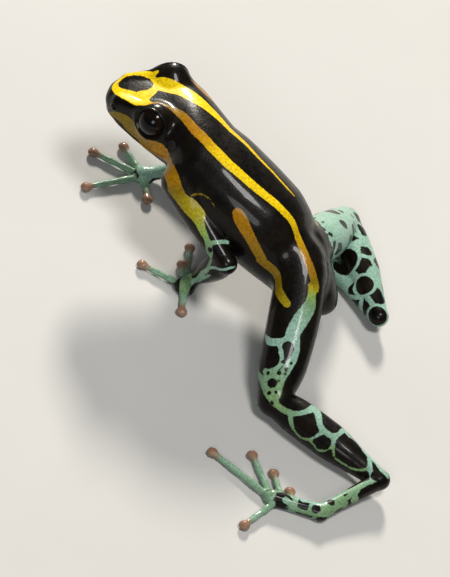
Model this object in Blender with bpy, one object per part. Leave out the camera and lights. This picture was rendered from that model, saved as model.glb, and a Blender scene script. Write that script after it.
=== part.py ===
"""Reticulated poison frog, a still life-size model of a live animal standing on a flat floor.

Head towards -Y, the animal's left towards +X, +Z up, the floor at Z = 0. Sizes are in
millimetres and become metres only where a mesh is made. Head and trunk are drawn straight, in
body coordinates (forward, left, up) measured from the middle of the trunk, and then posed.
"""

import math

import bmesh
import bpy
import numpy as np
from mathutils import Matrix, Vector

MM = 0.001

# Middle of the whole animal's box in the pose's own coordinates: it becomes the origin.
BOX_MIDDLE = Vector((3.464, 4.079, 0.0))

# The gap between pieces that meet, and round each eye.
GAP = 0.3
EYE_GAP = 0.2

# How the trunk stands: its middle, how far the head end is raised, how far it leans right.
TRUNK_MIDDLE = Vector((0.0, 0.0, 5.3))
TRUNK_RAISED = 14.5
TRUNK_LEAN = 22.0

# The head keeps nearly level: the point between the eyes, its turn left, its dip, its lean.
EYES_MIDDLE = Vector((-0.46, -5.26, 7.21))
HEAD_TURN = 18.0
HEAD_DIP = 11.0
HEAD_LEAN = -1.0

# Stations along the body: forward, half width, top, bottom, height of the widest line.
BODY_STATIONS = (
    (-8.90, 1.10, 0.05, -1.85, -0.85),
    (-7.90, 1.50, 0.32, -2.05, -0.75),
    (-6.80, 1.80, 0.70, -2.15, -0.50),
    (-5.30, 2.15, 1.22, -2.25, -0.25),
    (-3.90, 2.60, 2.00, -2.40, -0.10),
    (-2.60, 2.90, 2.30, -2.50, 0.00),
    (-1.00, 3.05, 2.32, -2.60, 0.00),
    (0.50, 3.00, 2.32, -2.50, 0.00),
    (2.00, 2.85, 2.16, -2.35, 0.05),
    (3.30, 2.78, 1.80, -2.40, -0.05),
    (4.30, 2.78, 1.52, -2.05, -0.15),
    (5.30, 2.48, 1.38, -1.55, -0.20),
    (6.20, 2.05, 1.34, -1.05, -0.10),
    (7.00, 1.62, 1.26, -0.76, 0.05),
    (7.80, 1.28, 1.14, -0.56, 0.15),
    (8.60, 1.05, 1.05, -0.42, 0.20),
)

# Where the rounding of each end starts and where it closes.
SNOUT_ROUND = (7.0, 8.4)
VENT_ROUND = (-6.4, -8.55)

# The share of each rounded end's quarter turn that its rings cover before the pole.
RINGED_SHARE = 0.96

# How far the chin ends behind the snout, between which heights, and from where forward.
CHIN_BACK = 0.35
CHIN_HEIGHTS = (1.0, -0.7)
CHIN_FROM = (6.4, 7.4)

# The sections are rounder on the trunk and firmer on the snout.
TRUNK_POWER = 2.2
SNOUT_POWER = 2.9
POWER_CHANGE = (4.8, 7.0)
NECK_CUT = 3.1
SPINE_BEND = (1.8, 4.9)

# Eyes: the ball, and the lid that rises over it.
EYE_FORWARD = 5.3
EYE_OUT = 1.74
EYE_UP = 0.95
EYE_RADIUS = 0.84
LID_RADIUS = 1.18
LID_IN = 0.30
LID_LIFT = 0.06

# The firm edge from each eye to above the nostril: its two ends and its radius.
BROW_BACK = (6.05, 1.52, 1.22)
BROW_FRONT = (7.45, 0.95, 0.90)
BROW_RADIUS = 0.30

# Face: the mouth runs from corner to corner round the snout.
MOUTH_CORNER_FORWARD = 4.2
MOUTH_SNOUT_FORWARD = 8.15
MOUTH_CORNER_UP = -0.50
MOUTH_SNOUT_UP = -0.12
MOUTH_HEIGHT = 0.12
MOUTH_DEPTH = 0.22
LIP_RADIUS = 0.15
LIP_SUNK = 0.11
NOSTRIL_FORWARD = 7.58
NOSTRIL_OUT = 1.25
NOSTRIL_UP = 0.76
NOSTRIL_RADIUS = 0.17
EAR_FORWARD = 3.95
EAR_OUT = 2.70
EAR_UP = 0.25
EAR_RADIUS = 0.40
EAR_DEPTH = 0.12

# Joints of the limbs, standing: the pose's own coordinates, with the floor at 0.
LEFT_ARM = {
    "shoulder": Vector((2.35, -1.9, 5.6)),
    "elbow": Vector((3.55, 2.7, 3.9)),
    "wrist": Vector((2.4, 1.0, 0.5)),
    "palm": Vector((3.0, 0.9, 0.3)),
}
RIGHT_ARM = {
    "shoulder": Vector((-1.6, -2.4, 4.1)),
    "elbow": Vector((-5.1, -2.2, 1.9)),
    "wrist": Vector((-2.8, -4.6, 0.6)),
    "palm": Vector((-2.1, -5.2, 0.35)),
}
LEFT_LEG = {
    "hip": Vector((0.75, 5.5, 4.4)),
    "knee": Vector((6.9, 9.0, 1.0)),
    "heel": Vector((7.13, 16.0, 0.9)),
    "instep": Vector((11.1, 14.9, 0.45)),
    "toe_base": Vector((12.15, 12.5, 0.35)),
}
RIGHT_LEG = {
    "hip": Vector((-1.1, 4.9, 3.6)),
    "knee": Vector((-7.4, 4.5, 0.95)),
    "heel": Vector((-2.9, 9.6, 0.9)),
    "instep": Vector((-4.3, 6.1, 0.42)),
    "toe_base": Vector((-5.6, 3.6, 0.35)),
}

# Tips of the digits, inner digit first.
LEFT_FINGERS = (
    Vector((1.7, -0.1, 0.22)),
    Vector((0.3, -0.5, 0.22)),
    Vector((3.4, -1.6, 0.22)),
    Vector((4.6, 1.8, 0.22)),
)
RIGHT_FINGERS = (
    Vector((-0.9, -4.1, 0.22)),
    Vector((1.0, -6.9, 0.22)),
    Vector((-1.5, -8.1, 0.22)),
    Vector((-3.2, -7.2, 0.22)),
)
LEFT_TOES = (
    Vector((10.9, 12.9, 0.22)),
    Vector((10.5, 11.6, 0.22)),
    Vector((10.3, 10.1, 0.22)),
    Vector((11.8, 8.5, 0.22)),
    Vector((14.8, 12.5, 0.22)),
)
RIGHT_TOES = (
    Vector((-4.3, 3.7, 0.22)),
    Vector((-4.4, 2.4, 0.22)),
    Vector((-5.3, 1.0, 0.22)),
    Vector((-6.8, 0.4, 0.22)),
    Vector((-6.7, 2.3, 0.22)),
)

# Radii along each length of limb, from the body outwards.
UPPER_ARM_RADII = (0.82, 0.80, 0.70, 0.60)
FOREARM_RADII = (0.58, 0.66, 0.56, 0.40)
LEFT_THIGH_RADII = (1.30, 1.34, 1.34, 1.20, 0.88)
RIGHT_THIGH_RADII = (1.15, 1.28, 1.25, 1.08, 0.84)
SHANK_RADII = (0.80, 0.96, 0.96, 0.78, 0.60)
TARSUS_RADII = (0.52, 0.46, 0.44, 0.45)
PALM_RADIUS = 0.55
SOLE_RADIUS = 0.44
DIGIT_RADIUS = 0.25
DISC_RADIUS = 0.36
DISC_THICKNESS = 0.27

LIMB_SIDES = 12
DIGIT_SIDES = 8
BODY_SIDES = 28


def clear_scene():
    for thing in list(bpy.data.objects):
        bpy.data.objects.remove(thing)


def material(name, colour, roughness):
    """A plain glossy or matt surface of one colour."""
    made = bpy.data.materials.new(name)
    made.use_nodes = True
    shader = made.node_tree.nodes["Principled BSDF"]
    shader.inputs["Base Color"].default_value = (*colour, 1.0)
    shader.inputs["Roughness"].default_value = roughness
    shader.inputs["Metallic"].default_value = 0.0
    return made


def smoothstep(low, high, value):
    """0 below low, 1 above high, 3t^2 - 2t^3 between."""
    t = np.clip((value - low) / (high - low), 0.0, 1.0)
    return t * t * (3.0 - 2.0 * t)


def turned(turn, dip, lean):
    """The rotation that turns left, dips the front and lifts the left side, in degrees."""
    about_up = Matrix.Rotation(math.radians(turn), 3, Vector((0, 0, 1)))
    about_left = Matrix.Rotation(math.radians(dip), 3, Vector((1, 0, 0)))
    about_forward = Matrix.Rotation(math.radians(lean), 3, Vector((0, -1, 0)))
    return np.array(about_up @ about_left @ about_forward)


def posed(forward, left, up):
    """A point in body coordinates carried to the standing pose.

    It is (1 - w) times the trunk's placement plus w times the head's, where w runs
    smoothly from 0 to 1 along the neck.
    """
    forward, left, up = np.broadcast_arrays(
        *(np.asarray(value, float) for value in (forward, left, up))
    )
    trunk = turned(0.0, -TRUNK_RAISED, TRUNK_LEAN)
    head = turned(HEAD_TURN, HEAD_DIP, HEAD_LEAN)
    by_trunk = np.stack([left, -forward, up], axis=-1) @ trunk.T + np.array(TRUNK_MIDDLE)
    from_eyes = np.stack([left, EYE_FORWARD - forward, up - EYE_UP], axis=-1)
    by_head = from_eyes @ head.T + np.array(EYES_MIDDLE)
    share = smoothstep(*SPINE_BEND, forward)[..., None]
    return by_trunk * (1.0 - share) + by_head * share


def smooth_value(stations, values, where):
    """Values read along a smooth curve through the stations (a cubic with zero overshoot)."""
    stations = np.asarray(stations, float)
    values = np.asarray(values, float)
    steps = np.diff(stations)
    slopes = np.diff(values) / steps
    middle = np.where(
        slopes[:-1] * slopes[1:] > 0,
        2.0 * slopes[:-1] * slopes[1:] / (slopes[:-1] + slopes[1:] + 1e-12),
        0.0,
    )
    slope_at = np.concatenate([slopes[:1], middle, slopes[-1:]])
    i = np.clip(np.searchsorted(stations, where) - 1, 0, len(steps) - 1)
    t = (where - stations[i]) / steps[i]
    start = (1 + 2 * t) * (1 - t) ** 2 * values[i] + t * (1 - t) ** 2 * steps[i] * slope_at[i]
    end = t * t * (3 - 2 * t) * values[i + 1] + t * t * (t - 1) * steps[i] * slope_at[i + 1]
    return start + end


def body_section(forward, grow=0.0):
    """(half width, top, bottom, widest height) of the body at a station, grown for a cutter."""
    at = [row[0] for row in BODY_STATIONS]
    width, top, bottom, widest = (
        float(smooth_value(at, [row[k] for row in BODY_STATIONS], forward)) for k in (1, 2, 3, 4)
    )
    return width + grow, top + grow, bottom - grow, widest


def body_ring(forward, grow=0.0):
    """One ring round the body: a superellipse, |x/w|^p + |z/h|^p = 1, posed.

    Over a rounded end it shrinks by (1 - e^p)^(1/p), where e runs there from 0 to 1, and the
    snout's lower part lies back towards the chin.
    """
    width, top, bottom, widest = body_section(forward, grow)
    power = TRUNK_POWER + (SNOUT_POWER - TRUNK_POWER) * float(smoothstep(*POWER_CHANGE, forward))
    snout = (forward - SNOUT_ROUND[0]) / (SNOUT_ROUND[1] - SNOUT_ROUND[0])
    vent = (forward - VENT_ROUND[0]) / (VENT_ROUND[1] - VENT_ROUND[0])
    shrink = (1.0 - max(snout, vent, 0.0) ** power) ** (1.0 / power)
    angle = np.linspace(0.0, 2 * math.pi, BODY_SIDES, endpoint=False)
    across = width * shrink * np.sign(np.cos(angle)) * np.abs(np.cos(angle)) ** (2 / power)
    upward = np.sign(np.sin(angle)) * np.abs(np.sin(angle)) ** (2 / power)
    height = np.where(upward > 0, top - widest, widest - bottom)
    up = widest + shrink * height * upward
    back = CHIN_BACK * smoothstep(*CHIN_HEIGHTS, up) * smoothstep(*CHIN_FROM, forward)
    return posed(forward - back, across, up)


def mesh_object(name, points, faces):
    """A mesh object from points in the pose's millimetres."""
    points = np.array(points, float)
    mesh = bpy.data.meshes.new(name)
    mesh.from_pydata(((points - np.array(BOX_MIDDLE)) * MM).tolist(), [], faces)
    shape = bmesh.new()
    shape.from_mesh(mesh)
    bmesh.ops.recalc_face_normals(shape, faces=shape.faces)
    shape.to_mesh(mesh)
    shape.free()
    thing = bpy.data.objects.new(name, mesh)
    bpy.context.scene.collection.objects.link(thing)
    return thing


def skin_over(name, rings, first_pole=None, last_pole=None):
    """A closed surface over rings of equal count, its ends drawn to poles or capped flat."""
    count = len(rings[0])
    points = [point for ring in rings for point in ring]
    faces = []
    for row in range(len(rings) - 1):
        for k in range(count):
            a = row * count + k
            b = row * count + (k + 1) % count
            faces.append((a, b, b + count, a + count))
    for pole, start in ((first_pole, 0), (last_pole, (len(rings) - 1) * count)):
        rim = [start + k for k in range(count)]
        if pole is None:
            faces.append(tuple(rim))
            continue
        points.append(pole)
        for k in range(count):
            faces.append((rim[k], rim[(k + 1) % count], len(points) - 1))
    return mesh_object(name, points, faces)


def limb(name, start, end, radii, sides=LIMB_SIDES, grow=0.0):
    """A straight length of limb with round ends, its radius read smoothly along it."""
    start, end = np.array(start, float), np.array(end, float)
    along = (end - start) / np.linalg.norm(end - start)
    side = np.cross(along, (0.0, 0.0, 1.0))
    side /= np.linalg.norm(side)
    over = np.cross(side, along)
    angle = np.linspace(0.0, 2 * math.pi, sides, endpoint=False)
    circle = np.outer(np.cos(angle), side) + np.outer(np.sin(angle), over)
    radii = np.array(radii, float) + grow
    places = np.linspace(0.0, 1.0, len(radii))
    domed = (math.radians(60), math.radians(30))
    rings = []
    for lift in domed:
        centre = start - along * radii[0] * math.sin(lift)
        rings.append(centre + circle * radii[0] * math.cos(lift))
    for place in np.linspace(0.0, 1.0, 2 * len(radii) - 1):
        radius = float(smooth_value(places, radii, place))
        rings.append(start + (end - start) * place + circle * radius)
    for lift in reversed(domed):
        centre = end + along * radii[-1] * math.sin(lift)
        rings.append(centre + circle * radii[-1] * math.cos(lift))
    return skin_over(name, rings, start - along * radii[0], end + along * radii[-1])


def ball(name, centre, radius, squash=1.0, rings=8, sides=14):
    """A round body, squashed upright for a disc or a palm."""
    centre = np.array(centre, float)
    angle = np.linspace(0.0, 2 * math.pi, sides, endpoint=False)
    rows = []
    for lift in np.linspace(-90, 90, rings + 1)[1:-1]:
        lift = math.radians(lift)
        row = np.stack(
            [
                radius * math.cos(lift) * np.cos(angle),
                radius * math.cos(lift) * np.sin(angle),
                np.full(sides, radius * squash * math.sin(lift)),
            ],
            axis=1,
        )
        rows.append(centre + row)
    pole = np.array((0.0, 0.0, radius * squash))
    return skin_over(name, rows, centre - pole, centre + pole)


def largest_surface(thing):
    """Keeps the closed surface of the largest volume and drops loose scraps."""
    shape = bmesh.new()
    shape.from_mesh(thing.data)
    shape.faces.ensure_lookup_table()
    seen = set()
    pieces = []
    for face in shape.faces:
        if face.index in seen:
            continue
        seen.add(face.index)
        piece = [face]
        for member in piece:
            for edge in member.edges:
                for other in edge.link_faces:
                    if other.index not in seen:
                        seen.add(other.index)
                        piece.append(other)
        pieces.append(piece)

    def volume(piece):
        total = 0.0
        for face in piece:
            corners = [vertex.co for vertex in face.verts]
            for k in range(1, len(corners) - 1):
                total += corners[0].dot(corners[k].cross(corners[k + 1]))
        return abs(total)

    pieces.sort(key=volume, reverse=True)
    dropped = [face for piece in pieces[1:] for face in piece]
    bmesh.ops.delete(shape, geom=dropped, context="FACES")
    shape.to_mesh(thing.data)
    shape.free()


def applied(thing):
    """Replaces the object's mesh with what its modifiers make of it."""
    graph = bpy.context.evaluated_depsgraph_get()
    made = bpy.data.meshes.new_from_object(thing.evaluated_get(graph))
    thing.modifiers.clear()
    thing.data = made


def combined(thing, others, operation, solver="EXACT"):
    """One Boolean of the object with all the others, applied, the others removed."""
    group = bpy.data.collections.new(thing.name + "_others")
    bpy.context.scene.collection.children.link(group)
    for other in others:
        bpy.context.scene.collection.objects.unlink(other)
        group.objects.link(other)
    modifier = thing.modifiers.new(operation.title(), "BOOLEAN")
    modifier.operation = operation
    modifier.operand_type = "COLLECTION"
    modifier.collection = group
    modifier.solver = solver
    applied(thing)
    for other in others:
        bpy.data.objects.remove(other)
    bpy.data.collections.remove(group)
    largest_surface(thing)


def dressed(thing, surface):
    """Flattens what would sink into the floor, then gives a material and smooth shading."""
    for vertex in thing.data.vertices:
        vertex.co.z = max(vertex.co.z, 0.0)
    thing.data.materials.clear()
    thing.data.materials.append(surface)
    thing.data.shade_smooth()
    thing.data.set_sharp_from_angle(angle=math.radians(50))
    return thing


def make_torso(grow=0.0, name="torso"):
    """The trunk from the vent to the neck, a loft of posed sections."""
    quarter = np.linspace(1.0 - RINGED_SHARE, 1.0, 5) * math.pi / 2
    vent_start, vent_end = VENT_ROUND
    round_end = vent_start + (vent_end - vent_start) * np.cos(quarter)
    straight = np.linspace(vent_start, NECK_CUT - GAP / 2, 16)[1:]
    rings = [body_ring(at, grow) for at in (*round_end, *straight)]
    widest = body_section(vent_end)[3]
    return skin_over(name, rings, first_pole=posed(vent_end - grow, 0.0, widest))


def eye_centre(side, inward=0.0, lift=0.0):
    return posed(EYE_FORWARD, side * (EYE_OUT - inward), EYE_UP + lift)


def mouth_path(out):
    """The mouth's line from the right corner round the snout to the left, out from the skin.

    Sideways it runs on the head's half width, and its height rises smoothly to the snout.
    """
    path = []
    for turn in np.linspace(-1.0, 1.0, 25):
        reach = math.cos(turn * math.pi / 2)
        forward = MOUTH_CORNER_FORWARD + (MOUTH_SNOUT_FORWARD - MOUTH_CORNER_FORWARD) * reach
        width, _, _, _ = body_section(forward)
        share = smoothstep(MOUTH_CORNER_FORWARD, MOUTH_SNOUT_FORWARD, forward)
        up = MOUTH_CORNER_UP + (MOUTH_SNOUT_UP - MOUTH_CORNER_UP) * float(share)
        sideways = math.copysign(1.0, turn) * width * min(1.0, abs(turn) * 3.0)
        across = sideways + out * math.sin(turn * math.pi / 2)
        path.append((forward + out * reach, across, up))
    return path


def make_mouth_cutter():
    """A thin band that follows the mouth's line and sinks a little way into the head."""
    inner = mouth_path(-MOUTH_DEPTH)
    outer = mouth_path(1.0)
    rings = []
    for (f0, l0, u0), (f1, l1, u1) in zip(inner, outer):
        low, high = -MOUTH_HEIGHT / 2, MOUTH_HEIGHT / 2
        rings.append(
            [posed(f0, l0, u0 + low), posed(f1, l1, u1 + low), posed(f1, l1, u1 + high),
             posed(f0, l0, u0 + high)]
        )
    return skin_over("mouth_cut", rings)


def make_lip(lift):
    """A lip: a thin round cord laid in the skin just above or below the mouth's line."""
    centres = [posed(f, l, u + lift) for f, l, u in mouth_path(-LIP_SUNK)]
    rings = []
    for k, centre in enumerate(centres):
        before = centres[max(k - 1, 0)]
        after = centres[min(k + 1, len(centres) - 1)]
        along = (after - before) / np.linalg.norm(after - before)
        side = np.cross(along, (0.0, 0.0, 1.0))
        side /= np.linalg.norm(side)
        over = np.cross(side, along)
        angle = np.linspace(0.0, 2 * math.pi, 6, endpoint=False)
        circle = np.outer(np.cos(angle), side) + np.outer(np.sin(angle), over)
        rings.append(centre + circle * LIP_RADIUS)
    return skin_over("lip", rings)


def make_head():
    """The head: a loft of posed sections, lids, brows and lips fused on, openings cut in."""
    quarter = np.linspace(0.0, RINGED_SHARE, 6) * math.pi / 2
    straight = np.linspace(NECK_CUT + GAP / 2, SNOUT_ROUND[0], 10)[:-1]
    round_end = SNOUT_ROUND[0] + (SNOUT_ROUND[1] - SNOUT_ROUND[0]) * np.sin(quarter)
    rings = [body_ring(at) for at in (*straight, *round_end)]
    tip_up = body_section(SNOUT_ROUND[1])[3]
    tip_back = CHIN_BACK * float(smoothstep(*CHIN_HEIGHTS, tip_up))
    head = skin_over("head", rings, last_pole=posed(SNOUT_ROUND[1] - tip_back, 0.0, tip_up))
    added = []
    for side in (1, -1):
        added.append(ball("lid", eye_centre(side, LID_IN, LID_LIFT), LID_RADIUS, 1.0, 12, 20))
        brow_ends = [posed(f, side * l, u) for f, l, u in (BROW_BACK, BROW_FRONT)]
        added.append(limb("brow", *brow_ends, (BROW_RADIUS, BROW_RADIUS)))
    lip_offset = MOUTH_HEIGHT / 2 + LIP_RADIUS * 0.8
    added.append(make_lip(lip_offset))
    added.append(make_lip(-lip_offset))
    combined(head, added, "UNION")
    cut = [make_mouth_cutter()]
    for side in (1, -1):
        cut.append(ball("socket", eye_centre(side), EYE_RADIUS + EYE_GAP, 1.0, 12, 20))
        nostril = posed(NOSTRIL_FORWARD, side * NOSTRIL_OUT, NOSTRIL_UP)
        cut.append(ball("nostril", nostril, NOSTRIL_RADIUS, 1.0, 6, 8))
        ear_in = posed(EAR_FORWARD, side * (EAR_OUT - EAR_DEPTH), EAR_UP)
        ear_out = posed(EAR_FORWARD, side * (EAR_OUT + 0.6), EAR_UP)
        cut.append(limb("ear", ear_in, ear_out, (EAR_RADIUS, EAR_RADIUS)))
    combined(head, cut, "DIFFERENCE")
    return head


def make_hand(name, palm, wrist, tips):
    """A palm with four fingers that end in discs, all in one body."""
    hand = ball(name, palm, PALM_RADIUS, 0.75)
    added = [limb("wrist", wrist, palm, (FOREARM_RADII[-1], SOLE_RADIUS))]
    added += digits(palm, tips)
    combined(hand, added, "UNION", "MANIFOLD")
    return hand


def make_foot(name, instep, toe_base, tips):
    """The sole with five toes that end in discs, all in one body."""
    foot = limb(name, instep, toe_base, (TARSUS_RADII[-1], SOLE_RADIUS, SOLE_RADIUS))
    roots = [toe_base + (instep - toe_base) * share for share in (0.45, 0.22, 0.0, 0.0, 0.12)]
    added = []
    for root, tip in zip(roots, tips):
        added += digits(root, [tip])
    combined(foot, added, "UNION", "MANIFOLD")
    return foot


def digits(root, tips):
    """Straight slender digits from one root, each with a flat disc at its tip."""
    made = []
    for tip in tips:
        base = Vector((root.x, root.y, tip.z))
        made.append(limb("digit", base, tip, (DIGIT_RADIUS, DIGIT_RADIUS), DIGIT_SIDES))
        squash = DISC_THICKNESS / DISC_RADIUS
        made.append(ball("disc", tip, DISC_RADIUS, squash, 6, 10))
    return made


def make_arm(side, joints, tips, surface):
    """Upper arm, forearm and hand, each cut clear of what it grows from."""
    upper = limb("upper_arm_" + side, joints["shoulder"], joints["elbow"], UPPER_ARM_RADII)
    combined(upper, [make_torso(GAP, "torso_cut")], "DIFFERENCE")
    fore = limb("forearm_" + side, joints["elbow"], joints["wrist"], FOREARM_RADII)
    elbow_cut = limb(
        "elbow_cut", joints["shoulder"], joints["elbow"], UPPER_ARM_RADII, grow=GAP
    )
    combined(fore, [elbow_cut, make_torso(GAP, "torso_cut")], "DIFFERENCE")
    hand = make_hand("hand_" + side, joints["palm"], joints["wrist"], tips)
    wrist_cut = limb("wrist_cut", joints["elbow"], joints["wrist"], FOREARM_RADII, grow=GAP)
    combined(hand, [wrist_cut], "DIFFERENCE")
    for piece in (upper, fore, hand):
        dressed(piece, surface)


def make_leg(side, joints, thigh_radii, tips, surface):
    """Thigh, shank, tarsus and foot, each cut clear of what it grows from."""
    thigh = limb("thigh_" + side, joints["hip"], joints["knee"], thigh_radii)
    combined(thigh, [make_torso(GAP, "torso_cut")], "DIFFERENCE")
    shank = limb("shank_" + side, joints["knee"], joints["heel"], SHANK_RADII)
    knee_cut = limb("knee_cut", joints["hip"], joints["knee"], thigh_radii, grow=GAP)
    combined(shank, [knee_cut], "DIFFERENCE")
    tarsus = limb("tarsus_" + side, joints["heel"], joints["instep"], TARSUS_RADII)
    heel_cut = limb("heel_cut", joints["knee"], joints["heel"], SHANK_RADII, grow=GAP)
    knee_cut = limb("knee_cut", joints["hip"], joints["knee"], thigh_radii, grow=GAP)
    combined(tarsus, [heel_cut, knee_cut], "DIFFERENCE")
    foot = make_foot("foot_" + side, joints["instep"], joints["toe_base"], tips)
    instep_cut = limb("instep_cut", joints["heel"], joints["instep"], TARSUS_RADII, grow=GAP)
    knee_cut = limb("knee_cut", joints["hip"], joints["knee"], thigh_radii, grow=GAP)
    combined(foot, [instep_cut, knee_cut], "DIFFERENCE")
    for piece in (thigh, shank, tarsus, foot):
        dressed(piece, surface)


def make_frog():
    black_skin = material("black_skin", (0.012, 0.012, 0.014), 0.3)
    netted_skin = material("netted_skin", (0.22, 0.46, 0.40), 0.3)
    eye_surface = material("eye", (0.02, 0.012, 0.008), 0.05)
    dressed(make_torso(), black_skin)
    dressed(make_head(), black_skin)
    for side, name in ((1, "eye_left"), (-1, "eye_right")):
        dressed(ball(name, eye_centre(side), EYE_RADIUS, 1.0, 12, 20), eye_surface)
    make_arm("left", LEFT_ARM, LEFT_FINGERS, netted_skin)
    make_arm("right", RIGHT_ARM, RIGHT_FINGERS, netted_skin)
    make_leg("left", LEFT_LEG, LEFT_THIGH_RADII, LEFT_TOES, netted_skin)
    make_leg("right", RIGHT_LEG, RIGHT_THIGH_RADII, RIGHT_TOES, netted_skin)


clear_scene()
make_frog()
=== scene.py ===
"""The looks of a small poison frog, glossy black with yellow stripes and a turquoise net.

Shapes are worked out in millimetres in the standing pose, with the trunk's middle over the
origin and the floor at height 0, and become metres where a mesh is made.
"""

import math

import bmesh
import bpy
import numpy as np
from mathutils import Matrix, Vector


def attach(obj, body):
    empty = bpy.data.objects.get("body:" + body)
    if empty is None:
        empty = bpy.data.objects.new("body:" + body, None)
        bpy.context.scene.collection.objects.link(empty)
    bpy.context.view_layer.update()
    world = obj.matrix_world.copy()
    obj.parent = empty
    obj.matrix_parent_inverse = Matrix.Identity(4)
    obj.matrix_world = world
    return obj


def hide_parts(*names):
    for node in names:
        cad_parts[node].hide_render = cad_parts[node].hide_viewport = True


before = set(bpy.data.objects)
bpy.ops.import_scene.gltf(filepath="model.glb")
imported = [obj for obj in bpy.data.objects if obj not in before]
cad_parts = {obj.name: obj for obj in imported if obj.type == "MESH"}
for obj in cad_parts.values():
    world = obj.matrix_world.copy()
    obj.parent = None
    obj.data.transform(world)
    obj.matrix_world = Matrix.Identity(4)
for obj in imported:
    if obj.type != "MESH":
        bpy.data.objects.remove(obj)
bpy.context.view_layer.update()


# The body, trunk and head in one.
# A live frog has no neck: one smooth barrel of flesh runs from the vent to the snout. It is drawn
# straight, in body coordinates (forward, left, up) from the trunk's middle, and then posed.

MM = 0.001
BOX_MIDDLE = np.array((3.464, 4.079, 0.0))

TRUNK_MIDDLE = np.array((0.0, 0.0, 5.3))
TRUNK_RAISED = 14.5
TRUNK_LEAN = 22.0
EYES_MIDDLE = np.array((-0.46, -5.26, 7.21))
HEAD_TURN = 18.0
HEAD_DIP = 11.0
HEAD_LEAN = -1.0
SPINE_BEND = (1.8, 4.9)
EYE_FORWARD = 5.3
EYE_OUT = 1.74
EYE_UP = 0.95

# Stations: forward, half width, top, bottom, height of the widest line.
BODY_STATIONS = np.array((
    (-8.90, 1.10, 0.05, -1.85, -0.85),
    (-7.90, 1.50, 0.32, -2.05, -0.75),
    (-6.80, 1.80, 0.70, -2.15, -0.50),
    (-5.30, 2.15, 1.22, -2.25, -0.25),
    (-3.90, 2.60, 2.00, -2.40, -0.10),
    (-2.60, 2.90, 2.30, -2.50, 0.00),
    (-1.00, 3.05, 2.32, -2.60, 0.00),
    (0.50, 3.00, 2.32, -2.50, 0.00),
    (2.00, 2.85, 2.16, -2.35, 0.05),
    (3.30, 2.78, 1.80, -2.40, -0.05),
    (4.30, 2.78, 1.52, -2.05, -0.15),
    (5.30, 2.48, 1.38, -1.55, -0.20),
    (6.20, 2.05, 1.34, -1.05, -0.10),
    (7.00, 1.62, 1.26, -0.76, 0.05),
    (7.80, 1.28, 1.14, -0.56, 0.15),
    (8.60, 1.05, 1.05, -0.42, 0.20),
))
SNOUT_ROUND = (7.0, 8.4)
CHIN_BACK = 0.35
VENT_ROUND = (-6.4, -8.55)

# The power of the cross section, and where it goes from the trunk's to the snout's.
TRUNK_POWER = 2.2
SNOUT_POWER = 2.9
FIRMER_OVER = (4.8, 7.0)


def smoothstep(low, high, value):
    """0 below low, 1 above high, 3t^2 - 2t^3 between."""
    t = np.clip((value - low) / (high - low), 0.0, 1.0)
    return t * t * (3.0 - 2.0 * t)


def turned(turn, dip, lean):
    """The rotation that turns left, dips the front and lifts the left side, in degrees."""
    about_up = Matrix.Rotation(math.radians(turn), 3, Vector((0, 0, 1)))
    about_left = Matrix.Rotation(math.radians(dip), 3, Vector((1, 0, 0)))
    about_forward = Matrix.Rotation(math.radians(lean), 3, Vector((0, -1, 0)))
    return np.array(about_up @ about_left @ about_forward)


# Both placements as matrices that act on (forward, left, up), and where each puts the origin.
FROM_BODY = np.array(((0.0, 1.0, 0.0), (-1.0, 0.0, 0.0), (0.0, 0.0, 1.0)))
TRUNK_TURN = turned(0.0, -TRUNK_RAISED, TRUNK_LEAN) @ FROM_BODY
HEAD_TURNED = turned(HEAD_TURN, HEAD_DIP, HEAD_LEAN) @ FROM_BODY
HEAD_ORIGIN = EYES_MIDDLE - HEAD_TURNED @ np.array((EYE_FORWARD, 0.0, EYE_UP))


def posed(forward, left, up):
    """Body coordinates to the pose: the trunk's placement blended into the head's at the nape."""
    body = np.stack(np.broadcast_arrays(forward, left, up), axis=-1).astype(float)
    share = smoothstep(*SPINE_BEND, body[..., :1])
    by_trunk = body @ TRUNK_TURN.T + TRUNK_MIDDLE
    by_head = body @ HEAD_TURNED.T + HEAD_ORIGIN
    return by_trunk * (1.0 - share) + by_head * share


def body_place(points):
    """The pose to body coordinates: guess the share of the head, solve, and repeat."""
    trunk = (points - TRUNK_MIDDLE) @ TRUNK_TURN
    head = (points - HEAD_ORIGIN) @ HEAD_TURNED
    forward = (trunk[:, 0] + head[:, 0]) / 2
    found = np.where(forward[:, None] < (SPINE_BEND[0] + SPINE_BEND[1]) / 2, trunk, head)
    between = (trunk[:, 0] > SPINE_BEND[0] - 1.0) & (head[:, 0] < SPINE_BEND[1] + 1.0)
    nape = points[between]
    ahead = forward[between]
    for _ in range(14):
        share = smoothstep(*SPINE_BEND, ahead)[:, None, None]
        mixed = TRUNK_TURN * (1.0 - share) + HEAD_TURNED * share
        origin = TRUNK_MIDDLE * (1.0 - share[:, 0]) + HEAD_ORIGIN * share[:, 0]
        across = [np.cross(mixed[:, :, (k + 1) % 3], mixed[:, :, (k + 2) % 3]) for k in range(3)]
        inverse = np.stack(across, axis=1)
        inverse /= np.sum(mixed[:, :, 0] * across[0], axis=1)[:, None, None]
        solved = np.einsum("nij,nj->ni", inverse, nape - origin)
        ahead = ahead * 0.4 + solved[:, 0] * 0.6
    found[between] = solved
    return found


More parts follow.
